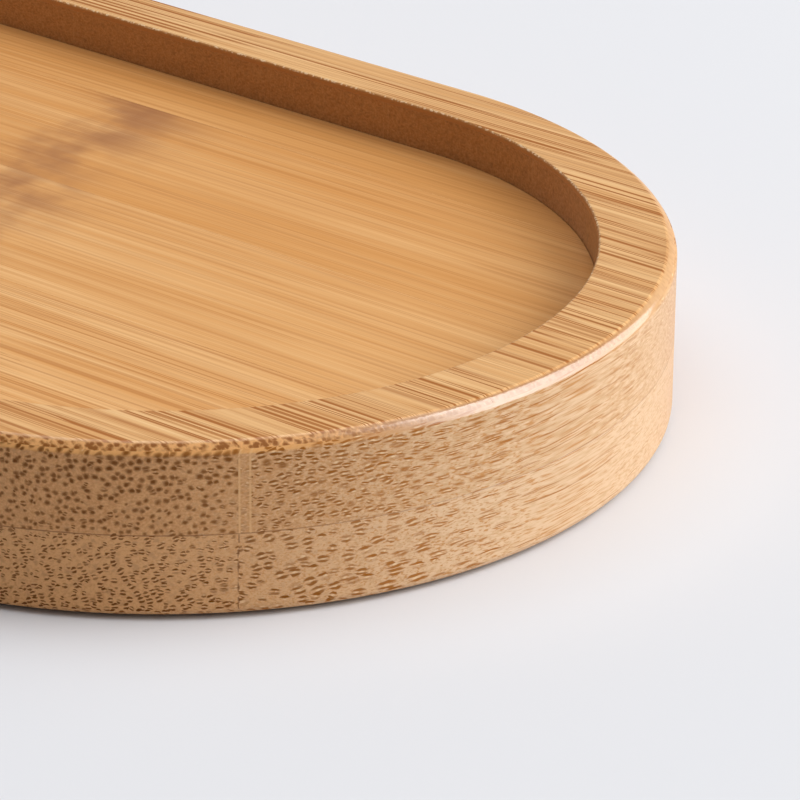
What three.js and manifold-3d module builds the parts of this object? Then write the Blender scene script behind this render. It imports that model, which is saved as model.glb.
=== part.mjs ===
// Laminated bamboo tray with straight sides, round ends and a shallow recess.
// Millimetres, +Z up. The origin is at the middle of the underside and +X runs along the tray.

import * as THREE from 'three';
import { mergeVertices, toCreasedNormals } from 'three/addons/utils/BufferGeometryUtils.js';
import Module from 'manifold-3d';

const wasm = await Module();
wasm.setup();

// Outline
const trayLength = 200;
const trayWidth = 90;
const rimWidth = 7;

// Layers, from the underside up
const baseThickness = 7.5;
const webThickness = 3.2; // what the pocket leaves of the rim layer, under the floor sheet
const floorThickness = 0.6;
const recessDepth = 4.3;
const faceThickness = 0.6;

// Rounded edges of the outline
const topEdgeRadius = 1.5;
const bottomEdgeRadius = 0.6;

// Strips that the layers are glued up from
const crossStripCount = 11;
const tipStripWidth = 11.8; // the first and last crosswise strip, at the tips of the round ends
const longStripCount = 5;
const sideStripWidth = 15; // the two outer lengthwise strips, from the sides of the tray inwards
const floorClearance = 0.3; // between the floor sheet and the wall of its pocket

// Fineness of the curves, and what counts as one corner or one sharp edge
const arcDivisions = 20;
const edgeDivisions = 4;
const cornerTolerance = 1e-5;
const sharpEdgeAngle = Math.PI / 6;

// Heights above the underside
const floorTop = baseThickness + webThickness + floorThickness;
const pocketBottom = baseThickness + webThickness;
const trayHeight = floorTop + recessDepth;
const faceBottom = trayHeight - faceThickness;

// Reach of the cutting solids past the tray
const overshoot = 10;

// A long outline with semicircular ends, drawn in by inset from the tray's own outline
function roundEndedOutline(inset) {
  const radius = trayWidth / 2 - inset;
  const centre = (trayLength - trayWidth) / 2;
  const outline = new THREE.Shape();
  outline.moveTo(-centre, -radius);
  outline.lineTo(centre, -radius);
  outline.absarc(centre, 0, radius, -Math.PI / 2, Math.PI / 2, false);
  outline.lineTo(-centre, radius);
  outline.absarc(-centre, 0, radius, Math.PI / 2, 1.5 * Math.PI, false);
  return outline;
}

// A closed geometry as a solid that can be cut
function toSolid(geometry) {
  const bare = geometry.clone();
  bare.deleteAttribute('normal');
  bare.deleteAttribute('uv');
  const merged = mergeVertices(bare, cornerTolerance);
  const mesh = new wasm.Mesh({
    numProp: 3,
    vertProperties: new Float32Array(merged.attributes.position.array),
    triVerts: new Uint32Array(merged.index.array),
  });
  return new wasm.Manifold(mesh);
}

// A cut solid as a geometry, with its round edges shaded smooth and the others sharp
function toGeometry(solid) {
  const mesh = solid.getMesh();
  const geometry = new THREE.BufferGeometry();
  geometry.setAttribute('position', new THREE.BufferAttribute(mesh.vertProperties, 3));
  geometry.setIndex(new THREE.BufferAttribute(mesh.triVerts, 1));
  return toCreasedNormals(geometry, sharpEdgeAngle);
}

// An upright prism on the round-ended outline
function prism(inset, bottom, top) {
  const geometry = new THREE.ExtrudeGeometry(roundEndedOutline(inset), {
    depth: top - bottom,
    bevelEnabled: false,
    curveSegments: arcDivisions,
  });
  return toSolid(geometry.translate(0, 0, bottom));
}

// The same prism on the tray's outline, with both its rims rounded by the same radius
function roundedPrism(edgeRadius, bottom, top) {
  const geometry = new THREE.ExtrudeGeometry(roundEndedOutline(0), {
    depth: top - bottom - 2 * edgeRadius,
    bevelThickness: edgeRadius,
    bevelSize: edgeRadius,
    bevelOffset: -edgeRadius,
    bevelSegments: edgeDivisions,
    curveSegments: arcDivisions,
  });
  return toSolid(geometry.translate(0, 0, bottom + edgeRadius));
}

// A block between two corners
function block(low, high) {
  const size = high.clone().sub(low);
  const middle = low.clone().add(high).multiplyScalar(0.5);
  const geometry = new THREE.BoxGeometry(size.x, size.y, size.z);
  return toSolid(geometry.translate(middle.x, middle.y, middle.z));
}

const reachX = trayLength / 2 + overshoot;
const reachY = trayWidth / 2 + overshoot;

// A layer between two heights of a solid
function layer(solid, bottom, top) {
  const low = new THREE.Vector3(-reachX, -reachY, bottom);
  const high = new THREE.Vector3(reachX, reachY, top);
  return solid.intersect(block(low, high));
}

// The part of a solid between two places along the tray
function crossCut(solid, from, to) {
  const low = new THREE.Vector3(from, -reachY, -overshoot);
  const high = new THREE.Vector3(to, reachY, trayHeight + overshoot);
  return solid.intersect(block(low, high));
}

// The part of a solid between two places across the tray
function longCut(solid, from, to) {
  const low = new THREE.Vector3(-reachX, from, -overshoot);
  const high = new THREE.Vector3(reachX, to, trayHeight + overshoot);
  return solid.intersect(block(low, high));
}

// The edges of a sheet's strips: an outer strip of a set width on each side, and equal ones between them
function stripEdges(sheetWidth, outerStripWidth, stripCount, reach) {
  const innerCount = stripCount - 2;
  const innerWidth = (sheetWidth - 2 * outerStripWidth) / innerCount;
  const edges = [-reach];
  for (let i = 0; i <= innerCount; i += 1) {
    edges.push(outerStripWidth - sheetWidth / 2 + i * innerWidth);
  }
  edges.push(reach);
  return edges;
}

// Bamboo of one strip, a little paler or darker than its neighbours
const bambooColour = new THREE.Color(0xcf9d63);
const shadeSteps = [0, 0.025, -0.02, 0.015, -0.03];

function bamboo(stripNumber, roughness) {
  const shade = shadeSteps[stripNumber % shadeSteps.length];
  const colour = bambooColour.clone().offsetHSL(0, 0, shade);
  return new THREE.MeshStandardMaterial({ color: colour, roughness, metalness: 0 });
}

const sideRoughness = 0.6;
const faceRoughness = 0.45;

function addStrip(group, name, solid, material) {
  const strip = new THREE.Mesh(toGeometry(solid), material);
  strip.name = name;
  group.add(strip);
}

// The whole outside of the tray, with the edges rounded at the top and eased at the bottom
const outside = roundedPrism(topEdgeRadius, -overshoot, trayHeight)
  .intersect(roundedPrism(bottomEdgeRadius, 0, trayHeight + overshoot));

// Base and rim layers: strips that run across the tray
const pocket = prism(rimWidth, pocketBottom, trayHeight + overshoot);
const baseLayer = layer(outside, 0, baseThickness);
const rimLayer = layer(outside, baseThickness, faceBottom).subtract(pocket);
const crossEdges = stripEdges(trayLength, tipStripWidth, crossStripCount, reachX);

const baseStrips = new THREE.Group();
const rimStrips = new THREE.Group();
for (let i = 0; i < crossStripCount; i += 1) {
  const number = String(i + 1).padStart(2, '0');
  const baseStrip = crossCut(baseLayer, crossEdges[i], crossEdges[i + 1]);
  const rimStrip = crossCut(rimLayer, crossEdges[i], crossEdges[i + 1]);
  addStrip(baseStrips, `base_strip_${number}`, baseStrip, bamboo(i + 2, sideRoughness));
  addStrip(rimStrips, `rim_strip_${number}`, rimStrip, bamboo(i, sideRoughness));
}

// The rim's face and the recess floor are thin sheets of strips that run along the tray
const longEdges = stripEdges(trayWidth, sideStripWidth, longStripCount, reachY);
const lastLong = longStripCount - 1;

// Face sheet on the rim, cut through by the recess
const faceLayer = layer(outside, faceBottom, trayHeight).subtract(pocket);
const faceStrips = new THREE.Group();
for (let i = 0; i <= lastLong; i += 1) {
  const strip = longCut(faceLayer, longEdges[i], longEdges[i + 1]);
  if (i === 0) {
    addStrip(faceStrips, 'face_side_front', strip, bamboo(i, faceRoughness));
  } else if (i === lastLong) {
    addStrip(faceStrips, 'face_side_back', strip, bamboo(i, faceRoughness));
  } else {
    addStrip(faceStrips, `face_right_${i}`, crossCut(strip, 0, reachX), bamboo(i, faceRoughness));
    addStrip(faceStrips, `face_left_${i}`, crossCut(strip, -reachX, 0), bamboo(i, faceRoughness));
  }
}

// Floor sheet, which lies in the pocket
const floorSheet = prism(rimWidth + floorClearance, pocketBottom, floorTop);
const floorStrips = new THREE.Group();
for (let i = 0; i <= lastLong; i += 1) {
  const strip = longCut(floorSheet, longEdges[i], longEdges[i + 1]);
  addStrip(floorStrips, `floor_strip_${i + 1}`, strip, bamboo(i, faceRoughness));
}

const tray = new THREE.Group();
tray.add(baseStrips, rimStrips, faceStrips, floorStrips);

export default tray;
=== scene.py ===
"""Laminated bamboo tray: the finish of its strips, with a floor, soft light and a camera. Metres, +Z up."""

import math

import bmesh
import bpy
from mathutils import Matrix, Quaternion, Vector


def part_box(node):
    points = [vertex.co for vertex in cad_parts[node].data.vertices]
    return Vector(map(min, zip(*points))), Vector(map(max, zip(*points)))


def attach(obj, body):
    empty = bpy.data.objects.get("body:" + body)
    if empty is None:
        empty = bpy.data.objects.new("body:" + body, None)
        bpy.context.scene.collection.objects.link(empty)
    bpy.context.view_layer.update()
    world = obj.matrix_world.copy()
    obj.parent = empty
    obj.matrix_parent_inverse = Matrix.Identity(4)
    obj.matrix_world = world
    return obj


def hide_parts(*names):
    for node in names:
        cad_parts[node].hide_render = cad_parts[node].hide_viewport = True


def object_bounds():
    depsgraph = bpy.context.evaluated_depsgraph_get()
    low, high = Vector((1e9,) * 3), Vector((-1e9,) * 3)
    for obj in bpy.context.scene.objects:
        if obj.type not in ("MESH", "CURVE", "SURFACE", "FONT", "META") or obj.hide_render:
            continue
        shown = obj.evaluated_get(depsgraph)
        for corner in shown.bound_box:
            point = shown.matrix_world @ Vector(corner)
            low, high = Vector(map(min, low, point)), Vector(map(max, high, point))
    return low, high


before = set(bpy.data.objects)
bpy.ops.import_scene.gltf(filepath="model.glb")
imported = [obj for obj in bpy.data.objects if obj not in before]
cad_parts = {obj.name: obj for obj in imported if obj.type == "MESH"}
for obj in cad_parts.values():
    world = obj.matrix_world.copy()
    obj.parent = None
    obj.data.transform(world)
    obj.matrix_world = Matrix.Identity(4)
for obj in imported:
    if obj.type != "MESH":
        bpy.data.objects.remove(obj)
cad_low, cad_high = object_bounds()

MM = 0.001

# Sizes that the frame gives
tip = cad_high.x
end_radius = cad_high.y
tray_top = cad_high.z
end_centre = tip - end_radius
base_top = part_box("base_strip_06")[1].z
face_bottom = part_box("face_right_2")[0].z
pocket_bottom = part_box("floor_strip_3")[0].z
floor_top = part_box("floor_strip_3")[1].z

# Sizes of the rim and its edges, which the frame has in coarse facets
RIM_WIDTH = 7 * MM
TOP_EDGE_RADIUS = 1.0 * MM
TOP_EDGE_POWER = 1.45  # 1 makes the top edge round, 2 makes it a flat bevel
BOTTOM_EDGE_RADIUS = 0.9 * MM
INNER_EDGE_RADIUS = 0.25 * MM
JOINT_BEVEL = 0.01 * MM
FLOOR_GAP = 0.05 * MM
edge_start = tray_top - TOP_EDGE_RADIUS

# Fineness of the meshes
RAIL_STEPS = 28
TIP_STEPS = 72
ARC_STEPS = 48
SIDE_STEPS = 24
EDGE_STEPS = 10
INNER_STEPS = 5
BOTTOM_STEPS = 5
MERGE_DISTANCE = 1e-7
SHARP_ANGLE = math.radians(25)


# Meshes

def spaced(first, last, steps):
    """Evenly spaced numbers from first to last, both included."""
    return [first + (last - first) * step / steps for step in range(steps + 1)]


def cross_rail(span, inset, cut):
    """One side of a crosswise strip as (place along the tray, half width), from one joint to the next."""
    low, high = span
    radius = end_radius - inset
    if high < tip:
        rail = []
        for along in spaced(low + cut, high - cut, RAIL_STEPS):
            past = max(abs(along) - end_centre, 0.0)
            rail.append((along, math.sqrt(radius * radius - past * past)))
        return rail
    first = math.acos((low + cut - end_centre) / radius)
    return [
        (end_centre + radius * math.cos(angle), radius * math.sin(angle))
        for angle in spaced(first, 0.0, TIP_STEPS)
    ]


def long_rail(span, inset, cut):
    """One end of a lengthwise floor strip as (place across, half length), from its inner joint outwards."""
    low, high = span
    radius = end_radius - RIM_WIDTH - inset
    outermost = high > radius - RIM_WIDTH
    if outermost:
        angles = spaced(math.asin((low + cut) / radius), math.pi / 2, ARC_STEPS)
    else:
        angles = [math.asin(across / radius) for across in spaced(low + cut, high - cut, RAIL_STEPS)]
    return [(radius * math.sin(angle), end_centre + radius * math.cos(angle)) for angle in angles]


def edge_facing(height, radius):
    """Angle above the horizontal at which the top edge faces at a height."""
    turn = math.asin(((height - edge_start) / radius) ** (1 / TOP_EDGE_POWER))
    return math.atan(math.tan(turn) ** (2 - TOP_EDGE_POWER))


def edge_points(first, last, radius):
    """Points of the top edge as (inset, height), from one facing to another."""
    points = []
    for facing in spaced(first, last, EDGE_STEPS):
        turn = math.atan(math.tan(facing) ** (1 / (2 - TOP_EDGE_POWER)))
        inset = TOP_EDGE_RADIUS - radius * math.cos(turn) ** TOP_EDGE_POWER
        points.append((inset, edge_start + radius * math.sin(turn) ** TOP_EDGE_POWER))
    return points


class Shell:
    """The corners and faces of one closed piece."""

    def __init__(self):
        self.mesh = bmesh.new()

    def corners(self, points):
        return [self.mesh.verts.new(point) for point in points]

    def face(self, *corners):
        self.mesh.faces.new(corners)

    def ladder(self, first, second):
        """Faces between two rows of corners."""
        for i in range(len(first) - 1):
            self.face(first[i], first[i + 1], second[i + 1], second[i])

    def piece(self, name):
        """The shell as a smooth object."""
        bmesh.ops.remove_doubles(self.mesh, verts=self.mesh.verts, dist=MERGE_DISTANCE)
        bmesh.ops.recalc_face_normals(self.mesh, faces=self.mesh.faces)
        data = bpy.data.meshes.new(name)
        self.mesh.to_mesh(data)
        self.mesh.free()
        data.shade_smooth()
        data.set_sharp_from_angle(angle=SHARP_ANGLE)
        piece = bpy.data.objects.new(name, data)
        bpy.context.scene.collection.objects.link(piece)
        normals = piece.modifiers.new("even_normals", "WEIGHTED_NORMAL")
        normals.keep_sharp = True
        return piece


def ring(shell, rail, height, place):
    """Corners along both sides of a strip, at one height."""
    return [
        shell.corners(place(along, side * half, height) for along, half in rail)
        for side in (-1, 1)
    ]


def plain_strip(shell, rails, place):
    """A strip stacked from rings of (rail, height), closed below, above and at both ends."""
    rings = [ring(shell, rail, height, place) for rail, height in rails]
    for lower, upper in zip(rings, rings[1:]):
        for side in (0, 1):
            shell.ladder(lower[side], upper[side])
        for end in (0, -1):
            shell.face(lower[0][end], lower[1][end], upper[1][end], upper[0][end])
    shell.ladder(rings[0][0], rings[0][1])
    shell.ladder(rings[-1][0], rings[-1][1])


def base_strip(span, place):
    """A crosswise strip of the base layer, with a rounded lower edge."""
    shell = Shell()
    rails = []
    for angle in spaced(0.0, math.pi / 2, BOTTOM_STEPS):
        inset = BOTTOM_EDGE_RADIUS * (1 - math.sin(angle))
        height = BOTTOM_EDGE_RADIUS * (1 - math.cos(angle))
        rails.append((cross_rail(span, inset, JOINT_BEVEL if angle == 0.0 else 0.0), height))
    rails.append((cross_rail(span, 0.0, 0.0), base_top - JOINT_BEVEL))
    rails.append((cross_rail(span, JOINT_BEVEL, JOINT_BEVEL), base_top))
    plain_strip(shell, rails, place)
    return shell


def rim_strip(span, place):
    """A crosswise strip of the rim layer, with its part of the recess's pocket and of the top edge."""
    shell = Shell()
    profile = [(0.0, base_top + JOINT_BEVEL), (0.0, pocket_bottom)]
    profile += edge_points(0.0, edge_facing(face_bottom, TOP_EDGE_RADIUS), TOP_EDGE_RADIUS)
    foot = ring(shell, cross_rail(span, JOINT_BEVEL, JOINT_BEVEL), base_top, place)
    outside = [foot]
    outside += [ring(shell, cross_rail(span, inset, 0.0), height, place) for inset, height in profile]
    inside = []
    for bevel, height in (
        (0.0, pocket_bottom),
        (0.0, face_bottom - JOINT_BEVEL),
        (JOINT_BEVEL, face_bottom),
    ):
        inside.append(ring(shell, cross_rail(span, RIM_WIDTH - bevel, 0.0), height, place))
    for side in (0, 1):
        for lower, upper in zip(outside, outside[1:]):
            shell.ladder(lower[side], upper[side])
        for lower, upper in zip(inside, inside[1:]):
            shell.ladder(lower[side], upper[side])
        shell.ladder(outside[-1][side], inside[-1][side])
    shell.ladder(foot[0], foot[1])
    shell.ladder(inside[0][0], inside[0][1])
    ends = (0, -1) if span[1] < tip else (0,)
    for end in ends:
        bevel, web = outside[1], outside[2]
        pocket = inside[0]
        shell.face(foot[0][end], foot[1][end], bevel[1][end], bevel[0][end])
        shell.face(
            bevel[0][end], bevel[1][end], web[1][end], pocket[1][end], pocket[0][end], web[0][end]
        )
        for side in (0, 1):
            outer = [level[side][end] for level in outside[2:]]
            inner = [level[side][end] for level in inside]
            shell.face(*outer, *reversed(inner))
    return shell


def face_profile(shrink):
    """Section of the face sheet as (inset, height), from the outer glue line over the top to the inner."""
    outer = TOP_EDGE_RADIUS - shrink
    inner = INNER_EDGE_RADIUS - shrink
    profile = edge_points(edge_facing(face_bottom, outer), math.pi / 2, outer)
    for angle in spaced(math.pi / 2, 0.0, INNER_STEPS):
        inset = RIM_WIDTH - INNER_EDGE_RADIUS + inner * math.cos(angle)
        profile.append((inset, tray_top - INNER_EDGE_RADIUS + inner * math.sin(angle)))
    profile.append((RIM_WIDTH - shrink, face_bottom + JOINT_BEVEL))
    profile.append((RIM_WIDTH - shrink - JOINT_BEVEL, face_bottom))
    return profile


def sweep(stations, place):
    """The face sheet's section carried along stations of (path point for a radius, shrink)."""
    shell = Shell()
    rows = []
    for point, shrink in stations:
        row = []
        for inset, height in face_profile(shrink):
            along, across = point(end_radius - inset)
            row.append(place(along, across, height))
        rows.append(shell.corners(row))
    for first, second in zip(rows, rows[1:]):
        shell.ladder(first, second)
        shell.face(first[-1], first[0], second[0], second[-1])
    shell.face(*rows[0])
    shell.face(*rows[-1])
    return shell


def face_end_strip(span, place):
    """A piece of the face sheet between two joints on a round end."""
    low, high = span

    def at(across):
        return lambda radius: (end_centre + math.sqrt(radius * radius - across * across), across)

    stations = [(at(low), JOINT_BEVEL)]
    stations += [(at(across), 0.0) for across in spaced(low + JOINT_BEVEL, high - JOINT_BEVEL, RAIL_STEPS)]
    stations.append((at(high), JOINT_BEVEL))
    return sweep(stations, place)


def face_side_strip(joint, place):
    """A piece of the face sheet along one side, with its parts of both round ends."""

    def on_arc(across, share, sign):
        def point(radius):
            first = math.asin(across / radius)
            angle = first + (math.pi / 2 - first) * share
            return sign * (end_centre + radius * math.cos(angle)), radius * math.sin(angle)
        return point

    def on_side(along):
        return lambda radius: (along, radius)

    shares = spaced(0.0, 1.0, ARC_STEPS)
    stations = [(on_arc(joint, 0.0, 1), JOINT_BEVEL)]
    stations += [(on_arc(joint + JOINT_BEVEL, share, 1), 0.0) for share in shares]
    stations += [(on_side(along), 0.0) for along in spaced(end_centre, -end_centre, SIDE_STEPS)[1:-1]]
    stations += [(on_arc(joint + JOINT_BEVEL, share, -1), 0.0) for share in reversed(shares)]
    stations.append((on_arc(joint, 0.0, -1), JOINT_BEVEL))
    return sweep(stations, place)


def floor_strip(span, place):
    """A lengthwise strip of the recess floor."""
    shell = Shell()
    rails = []
    for bevel, height in (
        (JOINT_BEVEL, pocket_bottom),
        (0.0, pocket_bottom + JOINT_BEVEL),
        (0.0, floor_top - JOINT_BEVEL),
        (JOINT_BEVEL, floor_top),
    ):
        rails.append((long_rail(span, FLOOR_GAP + bevel, bevel), height))
    plain_strip(shell, rails, place)
    return shell


# Looks of the bamboo. A pair for a ramp says where a look starts and where it is full. A pair for a stroke
# says up to where it is full and where it ends

# Varnish, and the dents in it and in the wood
BUMP_STRENGTH = 0.5
BUMP_DEPTH = 0.04 * MM
COAT_ROUGHNESS = 0.12
COAT_IOR = 1.9

# Relief that the dents are made from: what stands up and what is sunk
FIBRE_RISE = 0.5
CORE_DENT = 0.4
BUNDLE_DENT = 0.3
GLUE_DENT = 0.5
FACE_FIBRE_RISE = 0.3
LINE_DENT = 0.25
JOINT_DENT = 0.2
SPOT_DENT = 0.5

# Shine of the wood itself and share of the varnish that stays on it. Cut ends soak up some of it
SIDE_SHINE = 0.05
SIDE_COAT = 0.28
FACE_SHINE = 0.2
FACE_COAT = 0.55
EDGE_COAT = 0.8
FLOOR_COAT = 0.22
SPOT_SOAK = 0.5

# Roughness of the wood, and what its fibres and dark bundles add
SIDE_ROUGHNESS = 0.4
FACE_ROUGHNESS = 0.36
SIDE_FIBRE_ROUGHNESS = 0.1
FACE_FIBRE_ROUGHNESS = 0.12
BUNDLE_ROUGHNESS = 0.1

# Colours of the ground and the bundles, where the cut goes across the fibres and where it goes along them.
# The darker ground across the fibres is partly its own end grain and partly painted shade
CUT_GROUND = (0.54, 0.240, 0.074, 1.0)
CUT_GROUND_PALE = (0.69, 0.348, 0.128, 1.0)
CUT_BUNDLE = (0.15, 0.045, 0.006, 1.0)
SIDE_GROUND = (0.63, 0.375, 0.180, 1.0)
SIDE_GROUND_PALE = (0.77, 0.525, 0.315, 1.0)
SIDE_BUNDLE = (0.39, 0.135, 0.020, 1.0)
SIDE_STREAK = (0.56, 0.245, 0.065, 1.0)
# Pale bundle cores: partly their own colour, partly painted glints
PALE_CORE_AND_GLINT = (0.88, 0.64, 0.37, 1.0)
SEAM_PALE = (0.74, 0.42, 0.18, 1.0)
GLUE = (0.20, 0.070, 0.018, 1.0)
FACE_DARK = (0.69, 0.322, 0.095, 1.0)
FACE_PALE = (0.94, 0.600, 0.285, 1.0)
FACE_LINE = (0.42, 0.142, 0.023, 1.0)
FACE_END = (0.48, 0.235, 0.086, 1.0)
FACE_EDGE = (0.76, 0.380, 0.135, 1.0)
FACE_EDGE_PALE = (0.66, 0.380, 0.175, 1.0)
FACE_SPOT = (0.28, 0.095, 0.016, 1.0)
# Pale colour of the painted highlight along the inner edge
INNER_EDGE_HIGHLIGHT = (0.95, 0.700, 0.420, 1.0)
KNUCKLE = (0.36, 0.15, 0.06, 1.0)

# How squarely a wall faces across the tray where its fibres are cut, its bundles dark, drawn out or cored
# Walls that face across the tray take the darker end-grain ground: partly real end grain, partly painted
# shade
CUT_AND_SHADE_FACING = (0.2, 0.9)
DEEP_FACING = (0.35, 0.85)
DRAWN_FACING = (0.45, 0.0)
# The pale cores, partly painted glints, show more where a wall turns from facing across the tray towards
# the tip
GLINT_FACING = (1.0, 0.4)

# How far up the surface faces on the rounded edge of the wall, and on the top, spots and painted highlight
# of the face
ROUNDED_RISE = (0.2, 0.55)
TOP_RISE = (0.8, 0.9)
SPOT_RISE = (0.98, 0.9)
HIGHLIGHT_RISE = (0.3, 0.6)
HIGHLIGHT_RISE_END = (1.0, 0.95)

# How squarely the edge faces along the tray where it shows end grain, and where that ends across the tray,
# in millimetres. The edge is browner on the near side
TIP_FACING = (0.75, 0.97)
TIP_BACK = (24.0, 10.0)
NEAR_SIDE = (18.0, -1.0)

# How far from the middle a surface lies along the way it faces, in millimetres. Below 0 it faces inwards
INWARD_REACH = (0.0, -10.0)

# Where the wall at the seen tip has few streaks, in millimetres across the tray
PLAIN_START = (-5.0, 18.0)
PLAIN_END = (31.0, 23.0)

# Bundles in millimetres: how far apart they lie across and up, then half the width and height of the solid
# ones, and of those with a pale core. The last number is how much larger the skin side's are
RIM_BUNDLES = ((0.58, 0.68), (0.25, 0.26), (0.26, 0.28), 0.3)
BASE_BUNDLES = ((0.80, 0.80), (0.26, 0.18), (0.28, 0.32), 0.2)

# How bundles are scattered, in gaps, and how they vary
RAGGED_SWINGS = 3.0
RAGGED_ACROSS = 0.4
RAGGED_UP = 0.3
ROW_OFFSET = 0.5
BUNDLE_SCATTER = 0.8
BUNDLE_SIZES = (0.75, 1.25)
BUNDLE_DARKNESS = (0.85, 1.05)
SKIN_DARKNESS = (0.88, 0.98)
INNER_DARKNESS = 0.2
CORED_DRAW = (0.85, 1.15)
DRAW_MIDDLE = 0.5
STREAK_THINNESS = 3.2

# Shape of a bundle, in its half width and half height
DOT_EDGE = (1.2, 0.25)
DOT_DARKNESS = 0.95
STROKE_EDGE = (1.05, 0.5)
STROKE_HEIGHT = 0.62
STROKE_BEND = 0.2
STROKE_SCALE = (0.9, 2.2)
UPPER_DRAW = (0.0, 0.3)
LOWER_DRAW = (1.0, 0.7)
STROKE_SPLIT = (-0.1, 0.1)
CORE_EDGE = (0.1, 0.5)
CORE_FLATNESS = 1.5
# Share of the pale core colour, which is partly a painted glint
CORE_AND_GLINT_SHARE = 0.8

# Grain of crosswise bamboo: swings per millimetre across the fibres, along them and up
WANDER = (0.12, 0.05, 0.12)
WOBBLE = (0.5, 0.3, 0.5)
WOBBLE_REACH = 0.2
SIDE_FIBRES = (5.0, 0.4, 5.0)
SIDE_MOTTLE = (1.6, 0.15, 1.6)
SIDE_THREADS = (7.0, 0.2, 7.0)
SIDE_FIBRE_SHARE = 0.7
SIDE_CONTRAST = 4.0
THREAD_LEVELS = (0.48, 0.68)
THREAD_SHARE = 0.9
MOTTLE_LEVELS = (0.5, 0.75)
MOTTLE_SHARE = 0.3
# Share of the edge colour on the wall's rounded top: partly the face edge's own colour, partly painted
# light where it faces up
ROUNDED_EDGE_AND_LIGHT_SHARE = 0.85
# Painted shade on walls that face into the recess
INNER_PAINTED_SHADE = 0.2

# Glue line and joints of the wall in millimetres. The rim layer has pale seams beside its joints
GLUE_HALF = (0.02, 0.09)
GLUE_MOTTLE = 0.6
GLUE_CUT = 0.5
GLUE_LOSS = 0.1
DARK_SEAM_HALF = (0.02, 0.1)
DARK_SEAM_LEVELS = (0.42, 0.58)
PALE_SEAM_HALF = (0.03, 0.09)
PALE_SEAM_LEVELS = (0.3, 0.5)
SEAM_PLACES = (0.06, 0.66)
SEAM_CLEARING = (0.25, 0.45)
SEAM_BUNDLES = 0.3
SEAM_SHARE = 0.8
INNER_SEAM_SHARE = 0.15

# Grain of lengthwise bamboo: swings per millimetre along the fibres, across them and up
LONG_WANDER = (0.012, 0.25, 0.25)
LONG_WANDER_ACROSS = 0.8
LONG_WANDER_UP = 0.6
BROAD = (0.012, 0.5, 0.3)
MIDDLING = (0.02, 1.6, 0.8)
FACE_FIBRES = (0.05, 6.0, 3.0)
FACE_ENDS = (3.0, 3.0, 3.0)
BROAD_SHARE = 0.35
MIDDLING_SHARE = 0.3
FACE_FIBRE_SHARE = 0.35
FACE_CONTRAST = 0.6
CALM_GRAIN = 0.5  # share of the fine grain that is left where a strip has no contrast
FACE_LEVELS = (-0.14, 0.12)

# Lines of the face in millimetres: how far apart the strong and the faint ones lie, and how long they are
STRONG_GAP = 0.7
FAINT_GAP = 0.35
FAINT_SHARE = 0.5
LINE_LENGTH = 40.0

# Shape of a line in gaps and lengths, and how its kind and darkness are drawn
LINE_SCATTER = 0.9
LINE_HALF = (0.14, 0.34)
LINE_SOFTNESS = 0.5
DOUBLE_OFFSET = 0.2
DOUBLE_HALF = (0.06, 0.14)
DOUBLE_DRAW = (0.6, 0.65)
LINE_REACH = (0.55, 0.35)
LINE_DRAW = (-0.2, 0.6)

# Spots and browner patches where the face sheet is cut across
SPECK_GAP = 0.48
SPECK_LENGTH = 0.7
SPECK_RAGGED = 0.6
SPOT_EDGE = (0.72, 0.25)
BACK_SPOTS = 0.15
SPOT_SHARE = 1.1
TIP_SPOTS_LOSS = 0.8
INNER_SPOTS_LOSS = 0.6
PATCH_LEVEL = 0.45
PATCH_CONTRAST = 2.5

# Painted highlight on the inner edge, and joints of the lengthwise sheets in millimetres
HIGHLIGHT_LEVELS = (0.5, 0.6)
HIGHLIGHT_SHARE = 0.8
FACE_JOINT_HALF = (0.02, 0.07)
FACE_JOINT_SHARE = 0.08

# Knuckle of the floor in millimetres
KNUCKLE_SWINGS = (0.12, 0.15, 0.0)
KNUCKLE_RAGGED = 10.0
KNUCKLE_EDGE = (11.0, 1.0)
KNUCKLE_LEVELS = (0.3, 0.7)
KNUCKLE_SHARE = 0.85

# Detail of the noises
WANDER_DETAIL = 1.0
BROAD_DETAIL = 2.0
FINE_DETAIL = 3.0
NOISE_MIDDLE = 0.5


# Material nodes

class Field:
    """A number or colour that varies over a surface, with arithmetic that adds shader nodes."""

    def __init__(self, graph, socket):
        self.graph = graph
        self.socket = socket

    def __add__(self, other):
        return self.graph.math("ADD", self, other)

    def __sub__(self, other):
        return self.graph.math("SUBTRACT", self, other)

    def __rsub__(self, other):
        return self.graph.math("SUBTRACT", other, self)

    def __mul__(self, other):
        return self.graph.math("MULTIPLY", self, other)

    def __truediv__(self, other):
        return self.graph.math("DIVIDE", self, other)

    def __abs__(self):
        return self.graph.math("ABSOLUTE", self)

    __radd__ = __add__
    __rmul__ = __mul__


def between(share, first, second):
    """The number or field that lies a share of the way from first to second."""
    return share * (second - first) + first


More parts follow.
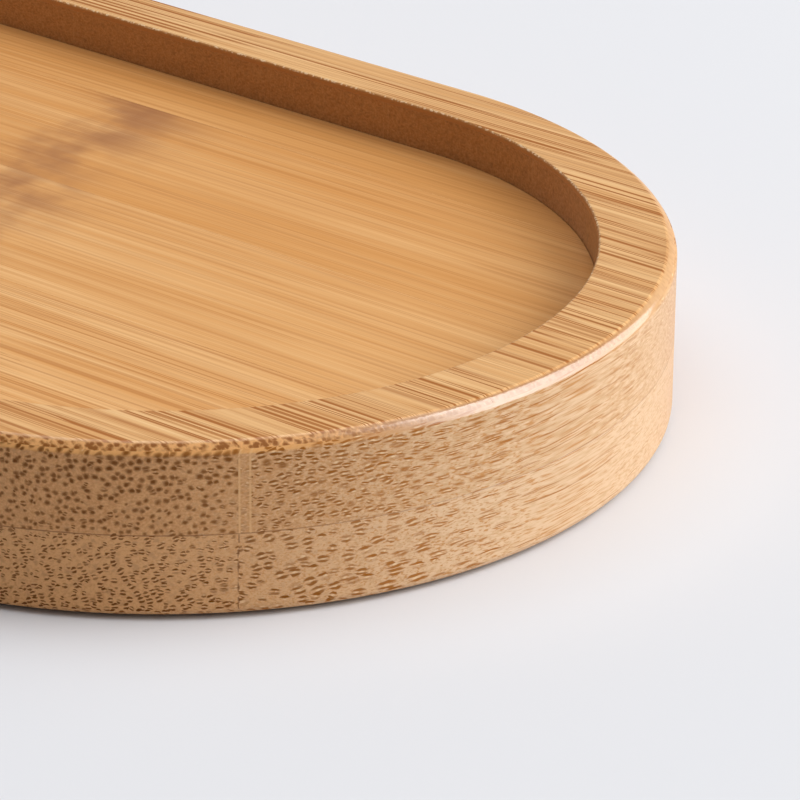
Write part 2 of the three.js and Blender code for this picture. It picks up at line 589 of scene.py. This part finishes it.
class Graph:
    """The nodes of a material or a lamp. Any input takes a number, a colour or a field."""

    def __init__(self, owner):
        owner.use_nodes = True
        self.owner = owner
        self.tree = owner.node_tree
        self.tree.nodes.clear()

    def node(self, kind, inputs, **settings):
        node = self.tree.nodes.new(kind)
        for key, value in settings.items():
            setattr(node, key, value)
        for key, value in inputs.items():
            if isinstance(value, Field):
                self.tree.links.new(value.socket, node.inputs[key])
            else:
                node.inputs[key].default_value = value
        return node

    def out(self, node, key=0):
        return Field(self, node.outputs[key])

    def math(self, operation, first, second=0.0):
        return self.out(self.node("ShaderNodeMath", {0: first, 1: second}, operation=operation))

    def vector(self, x, y, z):
        return self.out(self.node("ShaderNodeCombineXYZ", {0: x, 1: y, 2: z}))

    def split(self, vector):
        parts = self.node("ShaderNodeSeparateXYZ", {0: vector})
        return [self.out(parts, axis) for axis in range(3)]

    def attribute(self, name):
        return self.split(self.out(self.node("ShaderNodeAttribute", {}, attribute_name=name), "Vector"))

    def place(self):
        """Place in the tray's frame, in millimetres."""
        coordinates = self.node("ShaderNodeTexCoord", {})
        return [part / MM for part in self.split(self.out(coordinates, "Object"))]

    def facing(self):
        """The way the surface faces, in the tray's frame."""
        return self.split(self.out(self.node("ShaderNodeTexCoord", {}), "Normal"))

    def endwise(self, facing, y):
        """How far the edge shows the end grain of lengthwise bamboo: 0 on the sides, 1 at the tips."""
        squarely = abs(facing[0]) / self.length(facing[0], facing[1])
        return self.ramp(squarely, *TIP_FACING) * self.ramp(y, *TIP_BACK)

    def inward(self, x, y, facing):
        """1 where the surface faces the middle of the tray, 0 where it faces away from it."""
        return self.ramp(x * facing[0] + y * facing[1], *INWARD_REACH)

    def ramp(self, value, start, end):
        """0 at start, 1 at end, smooth between them."""
        inputs = {"Value": value, "From Min": start, "From Max": end}
        return self.out(self.node("ShaderNodeMapRange", inputs, interpolation_type="SMOOTHSTEP"))

    def stroke(self, distance, solid, edge):
        """1 up to a distance from the middle of a stroke, 0 beyond its edge."""
        return 1.0 - self.ramp(distance, solid, edge)

    def mix(self, share, first, second):
        """The colour that lies a share of the way from first to second."""
        inputs = {0: share, 6: first, 7: second}
        return self.out(self.node("ShaderNodeMix", inputs, data_type="RGBA"), 2)

    def noise(self, x, y, z, detail):
        """Smooth noise around 0.5, with one swing about each unit."""
        inputs = {"Vector": self.vector(x, y, z), "Scale": 1.0, "Detail": detail}
        return self.node("ShaderNodeTexNoise", inputs)

    def grain(self, place, swings, detail=FINE_DETAIL):
        """Noise around 0.5 with so many swings per unit along each axis."""
        scaled = [part * swing for part, swing in zip(place, swings)]
        return self.out(self.noise(*scaled, detail), 0)

    def noise_parts(self, x, y, z):
        """Three noises around 0."""
        noise = self.noise(x, y, z, WANDER_DETAIL)
        return [part - NOISE_MIDDLE for part in self.split(self.out(noise, 1))]

    def cells(self, x, y, randomness):
        """Scattered points a unit apart: the way from the nearest one, and three numbers drawn for it."""
        inputs = {"Vector": self.vector(x, y, 0.0), "Scale": 1.0, "Randomness": randomness}
        node = self.node("ShaderNodeTexVoronoi", inputs, voronoi_dimensions="2D")
        middle = self.split(self.out(node, "Position"))
        return x - middle[0], y - middle[1], self.split(self.out(node, "Color"))

    def specks(self, x, y, z):
        """The distance to the nearest of points scattered through space, a unit apart."""
        node = self.node("ShaderNodeTexVoronoi", {"Vector": self.vector(x, y, z), "Scale": 1.0})
        return self.out(node, "Distance")

    def length(self, x, y):
        return self.math("SQRT", x * x + y * y)

    def bump(self, height):
        inputs = {"Strength": BUMP_STRENGTH, "Distance": BUMP_DEPTH, "Height": height}
        return self.out(self.node("ShaderNodeBump", inputs))

    def varnish(self, colour, roughness, height, shine, coat, coat_height):
        """Varnished wood with small dents in the wood and in the varnish, as a finished material."""
        shader = self.node("ShaderNodeBsdfPrincipled", {
            "Base Color": colour,
            "Roughness": roughness,
            "Normal": self.bump(height),
            "Specular IOR Level": shine,
            "Coat Weight": coat,
            "Coat Roughness": COAT_ROUGHNESS,
            "Coat IOR": COAT_IOR,
            "Coat Normal": self.bump(coat_height),
        })
        self.node("ShaderNodeOutputMaterial", {"Surface": self.out(shader)})
        return self.owner


# Bamboo

def bundles(graph, across, up, sizes, skinward, ringed, drawn_out):
    """Fibre bundles cut across: how dark they are and where their pale cores lie, each from 0 to 1.

    A bundle is a solid dot, or a curved stroke above and one below a pale core, which is partly the
    bundle's own colour and partly a painted glint."""
    (gap_across, gap_up), solid_half, cored_half, spread = sizes
    ragged = graph.noise_parts(across * RAGGED_SWINGS, up * RAGGED_SWINGS, 0.0)
    column = across / gap_across + ragged[0] * RAGGED_ACROSS
    row = up / gap_up + ragged[1] * RAGGED_UP
    slant, dy, dice = graph.cells(column + row * ROW_OFFSET, row, BUNDLE_SCATTER)
    dx = slant - dy * ROW_OFFSET
    size = between(dice[0], *BUNDLE_SIZES) * between(skinward, 1 - spread / 2, 1 + spread / 2)
    cored = graph.ramp(dice[2] + ringed - drawn_out, *CORED_DRAW)
    tilt = (dice[0] - DRAW_MIDDLE) * (1.0 - drawn_out)
    half_width, half_height = (
        between(cored, solid, open_half) * size for solid, open_half in zip(solid_half, cored_half)
    )
    level = dx * gap_across / half_width
    plumb = dy * gap_up / half_height * between(drawn_out, 1.0, STREAK_THINNESS)
    wide = level + plumb * tilt
    tall = plumb - level * tilt
    dot = graph.ramp(graph.length(wide, tall), *DOT_EDGE) * DOT_DARKNESS
    bent = abs(tall) + wide * wide * STROKE_BEND - STROKE_HEIGHT
    strokes = graph.ramp(graph.length(wide * STROKE_SCALE[0], bent * STROKE_SCALE[1]), *STROKE_EDGE)
    upper = graph.ramp(dice[1], *UPPER_DRAW)
    lower = graph.ramp(dice[1], *LOWER_DRAW)
    strokes = strokes * between(graph.ramp(tall, *STROKE_SPLIT), lower, upper)
    core_and_glint = graph.stroke(graph.length(wide, tall * CORE_FLATNESS), *CORE_EDGE) * cored
    dark = between(cored, dot, strokes)
    return dark * between(dice[1], *BUNDLE_DARKNESS), core_and_glint


def fine_lines(graph, across, along, gap):
    """Fibre bundles cut lengthwise: dark lines, single or double, from 0 to 1."""
    off, reach, dice = graph.cells(across / gap, along / LINE_LENGTH, LINE_SCATTER)
    off = abs(off)
    half = between(dice[0], *LINE_HALF)
    single = graph.stroke(off, half * (1 - LINE_SOFTNESS), half * (1 + LINE_SOFTNESS))
    double = graph.stroke(abs(off - DOUBLE_OFFSET), *DOUBLE_HALF)
    line = between(graph.ramp(dice[1], *DOUBLE_DRAW), single, double)
    return line * graph.ramp(abs(reach), *LINE_REACH) * graph.ramp(dice[2], *LINE_DRAW)


def edge_colour(graph, near_side, end_grain):
    """Colour of the top edge, browner where it shows end grain on the near side."""
    plain = graph.mix(near_side, FACE_EDGE_PALE, FACE_EDGE)
    return graph.mix(end_grain * near_side, plain, FACE_END)


def crosswise_bamboo(name, sizes, skin, heart, pale_seams):
    """Bamboo whose fibres run across the tray. Bundles grow from the heart side towards the skin side."""
    graph = Graph(bpy.data.materials.new(name))
    x, y, z = graph.place()
    facing = graph.facing()
    shift_x, shift_y, shift_z = graph.attribute("strip_shift")
    low, high, fade = graph.attribute("strip_span")
    coarse, ringed, tone = graph.attribute("strip_grain")
    wander = graph.noise_parts(x * WANDER[0] + shift_x, y * WANDER[1], z * WANDER[2])
    wobble = graph.noise_parts(x * WOBBLE[0], y * WOBBLE[1] + shift_y, z * WOBBLE[2])
    across = x + shift_x + wander[0] + wobble[0] * WOBBLE_REACH
    up = z + shift_z + wander[1] + wobble[1] * WOBBLE_REACH
    skinward = graph.ramp(z, heart / MM, skin / MM)
    steep = abs(facing[1])
    cut = graph.ramp(steep, *CUT_AND_SHADE_FACING)
    deep = graph.ramp(steep, *DEEP_FACING)
    drawn_out = graph.ramp(steep, *DRAWN_FACING)
    inward = graph.inward(x, y, facing)

    clear = 1.0 - graph.ramp(y, *PLAIN_START) * graph.ramp(y, *PLAIN_END) * fade
    dark, core_and_glint = bundles(graph, across / coarse, up / coarse, sizes, skinward, ringed, drawn_out)
    dark = dark * between(skinward, *SKIN_DARKNESS) * between(inward, 1.0, INNER_DARKNESS) * clear
    if pale_seams:
        off_seams = abs(x - low - SEAM_PLACES[1] / 2)
        dark = dark * between(graph.ramp(off_seams, *SEAM_CLEARING), SEAM_BUNDLES, 1.0)
    # Painted glints: the pale cores show only where the wall turns towards the tip
    core_and_glint = core_and_glint * graph.ramp(steep, *GLINT_FACING)
    fibres = graph.grain((across, y + shift_y, up), SIDE_FIBRES)
    mottle = graph.grain((across, y, up), SIDE_MOTTLE)
    threads = graph.grain((across, y + shift_y, up), SIDE_THREADS)
    ground = fibres * SIDE_FIBRE_SHARE + mottle * (1 - SIDE_FIBRE_SHARE)
    pale = (ground - NOISE_MIDDLE) * SIDE_CONTRAST + tone
    side_ground = graph.mix(pale, SIDE_GROUND, SIDE_GROUND_PALE)
    streaks = graph.ramp(threads, *THREAD_LEVELS) * clear
    side_ground = graph.mix(streaks * THREAD_SHARE, side_ground, SIDE_STREAK)
    cut_ground = graph.mix(pale, CUT_GROUND, CUT_GROUND_PALE)
    cut_ground = graph.mix(graph.ramp(mottle, *MOTTLE_LEVELS) * MOTTLE_SHARE, cut_ground, CUT_BUNDLE)
    # Darker end-grain ground where the wall faces across the tray, partly painted shade
    colour = graph.mix(cut, side_ground, cut_ground)
    rounded = graph.ramp(facing[2], *ROUNDED_RISE)
    endwise = graph.endwise(facing, y)
    near_side = graph.ramp(y, *NEAR_SIDE)
    # The rounded top takes the edge colour, partly as painted light where it faces up
    colour = graph.mix(rounded * ROUNDED_EDGE_AND_LIGHT_SHARE, colour, edge_colour(graph, near_side, endwise))
    colour = graph.mix(dark, colour, graph.mix(deep, SIDE_BUNDLE, CUT_BUNDLE))
    # Pale cores lighten the colour, partly as painted glints
    colour = graph.mix(core_and_glint * CORE_AND_GLINT_SHARE, colour, PALE_CORE_AND_GLINT)
    # Painted shade: walls that face into the recess are darkened
    colour = graph.mix(inward * INNER_PAINTED_SHADE, colour, CUT_BUNDLE)

    glue_strength = mottle * GLUE_MOTTLE + cut * GLUE_CUT - GLUE_LOSS
    glue = graph.stroke(abs(z - base_top / MM), *GLUE_HALF) * glue_strength
    colour = graph.mix(glue, colour, GLUE)
    if pale_seams:
        seam = graph.math("MINIMUM", abs(x - low - SEAM_PLACES[0]), abs(x - low - SEAM_PLACES[1]))
        seam = graph.stroke(seam, *PALE_SEAM_HALF) * graph.ramp(mottle, *PALE_SEAM_LEVELS)
        colour = graph.mix(seam * between(inward, SEAM_SHARE, INNER_SEAM_SHARE), colour, SEAM_PALE)
    else:
        seam = graph.math("MINIMUM", x - low, high - x)
        seam = graph.stroke(abs(seam), *DARK_SEAM_HALF) * graph.ramp(mottle, *DARK_SEAM_LEVELS)
        colour = graph.mix(seam * SEAM_SHARE, colour, GLUE)

    roughness = dark * BUNDLE_ROUGHNESS + fibres * SIDE_FIBRE_ROUGHNESS + SIDE_ROUGHNESS
    height = fibres * FIBRE_RISE - core_and_glint * CORE_DENT - dark * BUNDLE_DENT - glue * GLUE_DENT
    soaked_up = dark * (1.0 - rounded)
    coat_share = (1.0 - soaked_up) * between(rounded, SIDE_COAT, endwise * EDGE_COAT)
    return graph.varnish(colour, roughness, height, SIDE_SHINE, coat_share, height * (1.0 - rounded))


def lengthwise_bamboo(name, coat, knuckles):
    """Bamboo whose fibres run along the tray: brown lines on its top, and spots where it is cut across."""
    graph = Graph(bpy.data.materials.new(name))
    x, y, z = graph.place()
    shift_x, shift_y, shift_z = graph.attribute("strip_shift")
    low, high, knuckle_at = graph.attribute("strip_span")
    contrast, _, tone = graph.attribute("strip_grain")
    along = x + shift_x
    wander = graph.noise_parts(along * LONG_WANDER[0], y * LONG_WANDER[1] + shift_y, z * LONG_WANDER[2])
    across = y + shift_y + wander[0] * LONG_WANDER_ACROSS
    up = z + shift_z + wander[1] * LONG_WANDER_UP
    facing = graph.facing()
    rise = facing[2]
    endwise = graph.endwise(facing, y)
    near_side = graph.ramp(y, *NEAR_SIDE)
    top = graph.ramp(rise, *TOP_RISE)
    inward = graph.inward(x, y, facing)

    broad = graph.grain((along, across, up), BROAD, BROAD_DETAIL) - NOISE_MIDDLE
    middling = graph.grain((along, across, up), MIDDLING, BROAD_DETAIL) - NOISE_MIDDLE
    fibres = graph.grain((along, across, up), FACE_FIBRES)
    fine_grain = middling * MIDDLING_SHARE + (fibres - NOISE_MIDDLE) * FACE_FIBRE_SHARE
    grain = (broad * BROAD_SHARE + fine_grain * between(contrast, CALM_GRAIN, 1.0)) * FACE_CONTRAST
    pale = graph.ramp(grain + tone, *FACE_LEVELS)
    ends = graph.grain((x, across, up), FACE_ENDS)
    end_grain = endwise + (ends - PATCH_LEVEL) * PATCH_CONTRAST
    # Where the edge faces into the recess it takes a darker brown, as painted shade
    edge_and_shade_colour = graph.mix(inward, edge_colour(graph, near_side, end_grain), CUT_GROUND)
    colour = graph.mix(top, edge_and_shade_colour, graph.mix(pale, FACE_DARK, FACE_PALE))
    strong = fine_lines(graph, across, along, STRONG_GAP)
    faint = fine_lines(graph, across, along, FAINT_GAP) * FAINT_SHARE
    lines = graph.math("MAXIMUM", strong, faint) * contrast
    ragged = graph.noise_parts(x * RAGGED_SWINGS, across * RAGGED_SWINGS, up * RAGGED_SWINGS)
    speck_place = [
        part / SPECK_GAP + shove * SPECK_RAGGED
        for part, shove in zip((x * SPECK_LENGTH, across, up), ragged)
    ]
    spots = graph.ramp(graph.specks(*speck_place), *SPOT_EDGE) * between(near_side, BACK_SPOTS, 1.0)
    spots = spots * graph.ramp(rise, *SPOT_RISE)
    spots = spots * (SPOT_SHARE - endwise * TIP_SPOTS_LOSS - inward * INNER_SPOTS_LOSS)
    dark = between(top, spots, lines)
    colour = graph.mix(dark, colour, graph.mix(top, FACE_SPOT, FACE_LINE))

    # Painted highlight: pale specks along the rounded inner edge
    painted_highlight = graph.ramp(rise, *HIGHLIGHT_RISE) * graph.ramp(rise, *HIGHLIGHT_RISE_END) * inward
    painted_highlight = painted_highlight * graph.ramp(ends, *HIGHLIGHT_LEVELS)
    colour = graph.mix(painted_highlight * HIGHLIGHT_SHARE, colour, INNER_EDGE_HIGHLIGHT)
    edge = graph.math("MINIMUM", y - low, high - y)
    joint = graph.stroke(abs(edge), *FACE_JOINT_HALF)
    colour = graph.mix(joint * FACE_JOINT_SHARE, colour, FACE_LINE)
    if knuckles:
        patch = graph.grain((x, y, z), KNUCKLE_SWINGS)
        reach = abs(x - knuckle_at + (patch - NOISE_MIDDLE) * KNUCKLE_RAGGED)
        knuckle = graph.ramp(reach, *KNUCKLE_EDGE) * graph.ramp(patch, *KNUCKLE_LEVELS)
        colour = graph.mix(knuckle * KNUCKLE_SHARE, colour, KNUCKLE)

    roughness = dark * BUNDLE_ROUGHNESS + fibres * FACE_FIBRE_ROUGHNESS + FACE_ROUGHNESS
    height = fibres * FACE_FIBRE_RISE - dark * LINE_DENT - joint * JOINT_DENT
    edge_coat = endwise * (1.0 - inward) * (1.0 - spots * SPOT_SOAK) * EDGE_COAT
    coat_share = between(top, edge_coat, coat)
    coat_height = spots * (1.0 - top) * -SPOT_DENT
    return graph.varnish(colour, roughness, height, FACE_SHINE, coat_share, coat_height)


base_bamboo = crosswise_bamboo("varnished_base", BASE_BUNDLES, 0.0, base_top, False)
rim_bamboo = crosswise_bamboo("varnished_rim", RIM_BUNDLES, tray_top, base_top, True)
face_bamboo = lengthwise_bamboo("varnished_face", FACE_COAT, False)
floor_bamboo = lengthwise_bamboo("varnished_floor", FLOOR_COAT, True)


# Strips

FAR_AWAY = 1000.0

# Step and span of a strip's shift in the grain along each axis, and the numbers that the strips of each row
# count on from, so that no two strips are alike
SHIFT_STEPS = ((37.3, 97), (53.9, 89), (71.7, 83))
FIRST_NUMBERS = {"rim": 33, "base": 44, "left": 0, "right": 100, "side": 60, "floor": 70}


def strip_shift(number):
    """Where a strip lies in the grain, in millimetres."""
    return [number * step % span for step, span in SHIFT_STEPS]


def dress(shell, node, material, number, span, grain):
    """Turns a shell into the finished piece that stands for a node."""
    piece = shell.piece(node + "_bamboo")
    piece.data.materials.append(material)
    corner_count = len(piece.data.vertices)
    for name, value in (
        ("strip_shift", strip_shift(number)),
        ("strip_span", span),
        ("strip_grain", grain),
    ):
        attribute = piece.data.attributes.new(name, "FLOAT_VECTOR", "POINT")
        attribute.data.foreach_set("vector", list(value) * corner_count)
    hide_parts(node)
    "bamboo_" + node.split("_")[0]
    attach(piece, "root")


def end_place(sign):
    """Places a crosswise strip, or an end's piece of the face sheet, at the seen end or the far one."""
    return lambda along, across, height: Vector((sign * along, across, height))


def side_place(sign):
    """Places a side's piece of the face sheet at the back or the front."""
    return lambda along, across, height: Vector((along, sign * across, height))


def floor_place(sign):
    """Places a floor strip, whose rail runs across the tray, at the back or the front."""
    return lambda across, along, height: Vector((along, sign * across, height))


def extent(node, axis):
    """A strip's two limits along an axis."""
    return [corner[axis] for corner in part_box(node)]


def mirrored(low, high):
    """The side of the middle that a strip lies on, and its limits if it lay on the positive side."""
    if low + high < -MM:
        return -1, (-high, -low)
    return 1, (low, high)


def joints(node, axis):
    """A strip's two joints in millimetres. An end without a joint is far away."""
    low, high = extent(node, axis)
    limit = cad_high[axis] - RIM_WIDTH - BOTTOM_EDGE_RADIUS
    near = low / MM if low > -limit else -FAR_AWAY
    far = high / MM if high < limit else FAR_AWAY
    return near, far


# Crosswise strips. The base has coarse and fine strips in turn, and the strip at the seen tip is plainer
CROSS_COUNT = 11
BASE_COARSENESS = (0.8, 1.1)
BASE_RINGED = 0.95
BASE_TONE = 0.9
RIM_COARSENESS = 1.0
RIM_RINGED_STEP = 0.81
RIM_TONE = 0.5
TIP_FADE = 0.75
for number in range(1, CROSS_COUNT + 1):
    base_grain = (BASE_COARSENESS[number % 2], BASE_RINGED, BASE_TONE)
    rim_grain = (RIM_COARSENESS, number * RIM_RINGED_STEP % 1, RIM_TONE)
    fade = TIP_FADE if number == CROSS_COUNT else 0.0
    for row, build, material, grain in (
        ("base", base_strip, base_bamboo, base_grain),
        ("rim", rim_strip, rim_bamboo, rim_grain),
    ):
        node = f"{row}_strip_{number:02d}"
        sign, span = mirrored(*extent(node, 0))
        shell = build(span, end_place(sign))
        dress(shell, node, material, FIRST_NUMBERS[row] + number, (*joints(node, 0), fade), grain)

# Face sheet on the rim
FACE_GRAIN = (1.0, 0.0, 0.0)
FACE_END_COUNT = 3
for number in range(1, FACE_END_COUNT + 1):
    for end, sign in (("right", 1), ("left", -1)):
        node = f"face_{end}_{number}"
        low, high = extent(node, 1)
        shell = face_end_strip((low, high), end_place(sign))
        dress(shell, node, face_bamboo, FIRST_NUMBERS[end] + number, (low / MM, high / MM, 0.0), FACE_GRAIN)
side_joint = extent(f"face_right_{FACE_END_COUNT}", 1)[1]
for number, (side, sign) in enumerate((("front", -1), ("back", 1))):
    node = f"face_side_{side}"
    shell = face_side_strip(side_joint, side_place(sign))
    span = (side_joint / MM, FAR_AWAY) if sign > 0 else (-FAR_AWAY, -side_joint / MM)
    dress(shell, node, face_bamboo, FIRST_NUMBERS["side"] + number, (*span, 0.0), FACE_GRAIN)

# Floor sheet in the recess: each strip's knuckle in millimetres along the tray, its contrast and its tone
FLOOR_STRIPS = (
    (-60.0, 0.75, -0.045),
    (-FAR_AWAY, 0.5, -0.04),
    (32.0, 0.3, -0.04),
    (28.0, 0.3, -0.085),
    (-FAR_AWAY, 0.3, -0.095),
)
for number, (knuckle_at, contrast, tone) in enumerate(FLOOR_STRIPS, 1):
    node = f"floor_strip_{number}"
    sign, span = mirrored(*extent(node, 1))
    shell = floor_strip(span, floor_place(sign))
    limits = (*joints(node, 1), knuckle_at)
    dress(shell, node, floor_bamboo, FIRST_NUMBERS["floor"] + number, limits, (contrast, 0.0, tone))


# Studio

FLOOR_REACH = 8.0
FLOOR_COLOUR = (0.735, 0.742, 0.770, 1.0)
FLOOR_ROUGHNESS = 0.8
FLOOR_SHINE = 0.1
FLOOR_DROP = 0.3 * MM
WORLD_LIGHT = (0.14, 0.14, 0.145, 1.0)


def studio_floor():
    """A pale floor under the tray."""
    shell = bmesh.new()
    corners = [
        shell.verts.new((x * FLOOR_REACH, y * FLOOR_REACH, -FLOOR_DROP))
        for x, y in ((-1, -1), (1, -1), (1, 1), (-1, 1))
    ]
    shell.faces.new(corners)
    data = bpy.data.meshes.new("studio_floor")
    shell.to_mesh(data)
    shell.free()
    floor = bpy.data.objects.new("studio_floor", data)
    bpy.context.scene.collection.objects.link(floor)
    graph = Graph(bpy.data.materials.new("pale_paper"))
    shader = graph.node("ShaderNodeBsdfPrincipled", {
        "Base Color": FLOOR_COLOUR,
        "Roughness": FLOOR_ROUGHNESS,
        "Specular IOR Level": FLOOR_SHINE,
    })
    graph.node("ShaderNodeOutputMaterial", {"Surface": graph.out(shader)})
    data.materials.append(graph.owner)


def soft_light(name, middle, size, tilt, brightness, feather, fade):
    """A soft light with a side along Y, turned by tilt in degrees about it. Its middle is measured from the
    centre of the seen end. Along Y it comes up within a share of its length, the feather, and fades to a
    share of its brightness."""
    lamp = bpy.data.lights.new(name, "AREA")
    lamp.shape = "RECTANGLE"
    lamp.size, lamp.size_y = size
    lamp.energy = brightness * math.pi * size[0] * size[1]
    graph = Graph(lamp)
    along = graph.split(graph.out(graph.node("ShaderNodeNewGeometry", {}), "Parametric"))[1]
    left = 1.0 - along
    cube = left * left * left
    strength = between(cube * cube, fade, 1.0) * graph.ramp(along, 0.0, feather)
    emission = graph.node("ShaderNodeEmission", {"Strength": strength})
    graph.node("ShaderNodeOutputLight", {"Surface": graph.out(emission)})
    light = bpy.data.objects.new(name, lamp)
    light.location = Vector((end_centre, 0.0, 0.0)) + Vector(middle)
    light.rotation_euler = (0.0, math.radians(tilt), 0.0)
    bpy.context.scene.collection.objects.link(light)


studio_floor()
soft_light(
    "overhead", middle=(0.0, 0.0, 1.2), size=(1.6, 1.2), tilt=0, brightness=1.41, feather=0.05, fade=1.0
)
soft_light(
    "window", middle=(1.23, 3.5, 1.06), size=(1.44, 7.0), tilt=48, brightness=10.7, feather=0.14, fade=0.3
)
soft_light(
    "front", middle=(1.35, 0.25, 0.65), size=(1.0, 0.9), tilt=65, brightness=0.62, feather=0.1, fade=1.0
)
soft_light(
    "left", middle=(-1.6, 0.2, 0.6), size=(1.0, 1.2), tilt=-68, brightness=0.75, feather=0.1, fade=1.0
)

world = bpy.data.worlds.new("studio")
world.use_nodes = True
world.node_tree.nodes["Background"].inputs["Color"].default_value = WORLD_LIGHT
bpy.context.scene.world = world

# Camera at the photograph's angle
VIEW_AZIMUTH = math.radians(37.95)
VIEW_ELEVATION = math.radians(24.57)
VIEW_ROLL = math.radians(0.59)
VIEW_DISTANCE = 460 * MM
VIEW_AIM = Vector((72.1, 11.5, 0.0)) * MM
LENS = 230.6
NEAR_CLIP = 10 * MM

back = Vector((
    math.sin(VIEW_AZIMUTH) * math.cos(VIEW_ELEVATION),
    -math.cos(VIEW_AZIMUTH) * math.cos(VIEW_ELEVATION),
    math.sin(VIEW_ELEVATION),
))
camera_data = bpy.data.cameras.new("camera")
camera_data.lens = LENS
camera_data.clip_start = NEAR_CLIP
camera = bpy.data.objects.new("camera", camera_data)
camera.location = VIEW_AIM + back * VIEW_DISTANCE
camera.rotation_mode = "QUATERNION"
camera.rotation_quaternion = back.to_track_quat("Z", "Y") @ Quaternion((0, 0, 1), VIEW_ROLL)
bpy.context.scene.collection.objects.link(camera)
bpy.context.scene.camera = camera

bpy.context.scene.view_settings.view_transform = "Standard"

bpy.context.view_layer.update()
